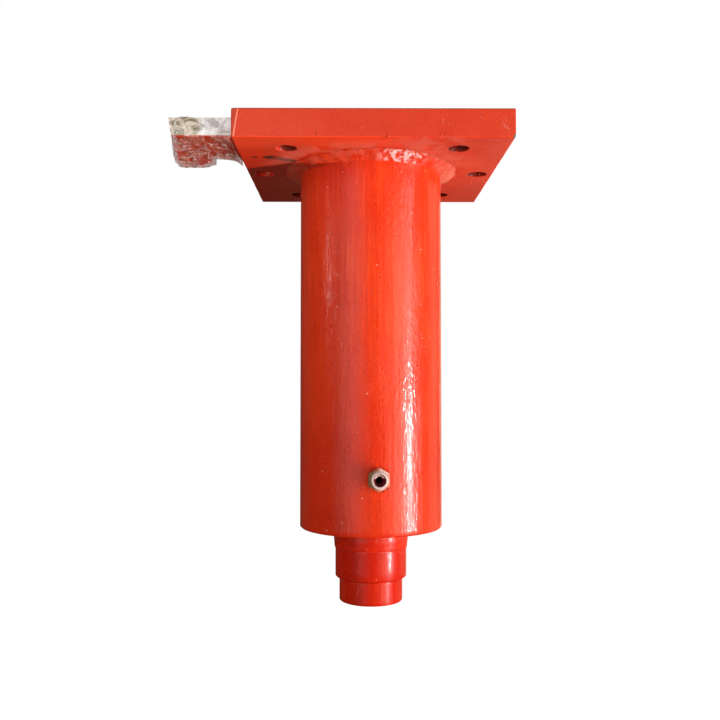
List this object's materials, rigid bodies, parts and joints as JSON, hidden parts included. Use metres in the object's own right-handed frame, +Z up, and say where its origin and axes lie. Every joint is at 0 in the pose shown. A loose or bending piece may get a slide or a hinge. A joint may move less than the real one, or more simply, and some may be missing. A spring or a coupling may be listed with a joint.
{
  "type": "telescopic hydraulic cylinder",
  "caption": "Flange-mounted telescopic hydraulic cylinder: red barrel hung under a square plate, with stages that slide out downwards.",
  "frame": {"origin": "centre of the flange's top face, on the cylinder's axis", "axes": "+Z up, out of the flange's top face and along the cylinder's axis; the stages come out along -Z; -Y is the front, where the retract port is; +X is right"},
  "size_m": [0.3585, 0.28, 0.512],
  "materials": {
    "flange_enamel": "glossy red enamel on flame-cut plate",
    "barrel_enamel": "glossy red enamel with slight orange peel",
    "weld_enamel": "glossy red enamel over weld ripples",
    "stage_enamel": "glossy red enamel over turned steel",
    "wiper_enamel": "polyurethane wiper, sprayed over with the red enamel",
    "zinc_plate": "satin zinc plating",
    "turned_steel": "fine turned",
    "hard_chrome": "ground and polished hard chrome",
    "black_steel": "blackened",
    "guide_ring": "bronze-filled PTFE",
    "back_up_ring": "plain PTFE",
    "seal_rubber": "smooth nitrile rubber",
    "stretch_film": "crinkled clear stretch film in a few layers"
  },
  "bodies": {
    "barrel": {"flange_plate": "flange_enamel", "barrel_tube": "barrel_enamel", "barrel_weld": "weld_enamel", "retract_port_adapter": "zinc_plate", "retract_port_washer": "seal_rubber", "extend_port_block": "flange_enamel", "extend_port_weld": "weld_enamel", "extend_port_plug": "zinc_plate", "protective_film": "stretch_film", "barrel_gland": "turned_steel", "barrel_gland_guide_upper": "guide_ring", "barrel_gland_rod_seal": "seal_rubber", "barrel_gland_guide_lower": "guide_ring", "barrel_gland_o_ring": "seal_rubber", "barrel_gland_back_up_ring": "back_up_ring", "barrel_gland_lock_ring": "barrel_enamel", "barrel_gland_lock_screw": "barrel_enamel", "barrel_wiper": "wiper_enamel"},
    "stage1_piston_rings": {"stage1_piston_guide_upper": "guide_ring", "stage1_piston_seal": "seal_rubber", "stage1_piston_guide_lower": "guide_ring"},
    "stage1": {"stage1_tube": "stage_enamel", "stage1_piston": "turned_steel", "stage1_piston_lock_screw": "black_steel", "stage1_piston_o_ring": "seal_rubber", "stage1_gland": "turned_steel", "stage1_gland_guide": "guide_ring", "stage1_gland_rod_seal": "seal_rubber", "stage1_gland_wiper": "seal_rubber", "stage1_gland_o_ring": "seal_rubber", "stage1_gland_snap_ring": "black_steel"},
    "stage2_piston_rings": {"stage2_piston_guide_upper": "guide_ring", "stage2_piston_seal": "seal_rubber", "stage2_piston_guide_lower": "guide_ring"},
    "stage2": {"stage2_rod": "hard_chrome", "stage2_piston": "turned_steel", "stage2_piston_o_ring": "seal_rubber", "stage2_piston_nut": "turned_steel", "stage2_head": "stage_enamel", "stage2_head_lock_screw": "stage_enamel"}
  },
  "joints": [
    {"name": "stage1_slide", "type": "slide", "parent": "barrel", "child": "stage1_piston_rings", "axis": [0, 0, -1], "range_m": [0, 0.277]},
    {"name": "stage1_turn", "type": "hinge", "parent": "stage1_piston_rings", "child": "stage1", "pos_m": [0, 0, -0.25], "axis": [0, 0, -1], "continuous": true},
    {"name": "stage2_slide", "type": "slide", "parent": "stage1", "child": "stage2_piston_rings", "axis": [0, 0, -1], "range_m": [0, 0.3565]},
    {"name": "stage2_turn", "type": "hinge", "parent": "stage2_piston_rings", "child": "stage2", "pos_m": [0, 0, -0.25], "axis": [0, 0, -1], "continuous": true}
  ]
}
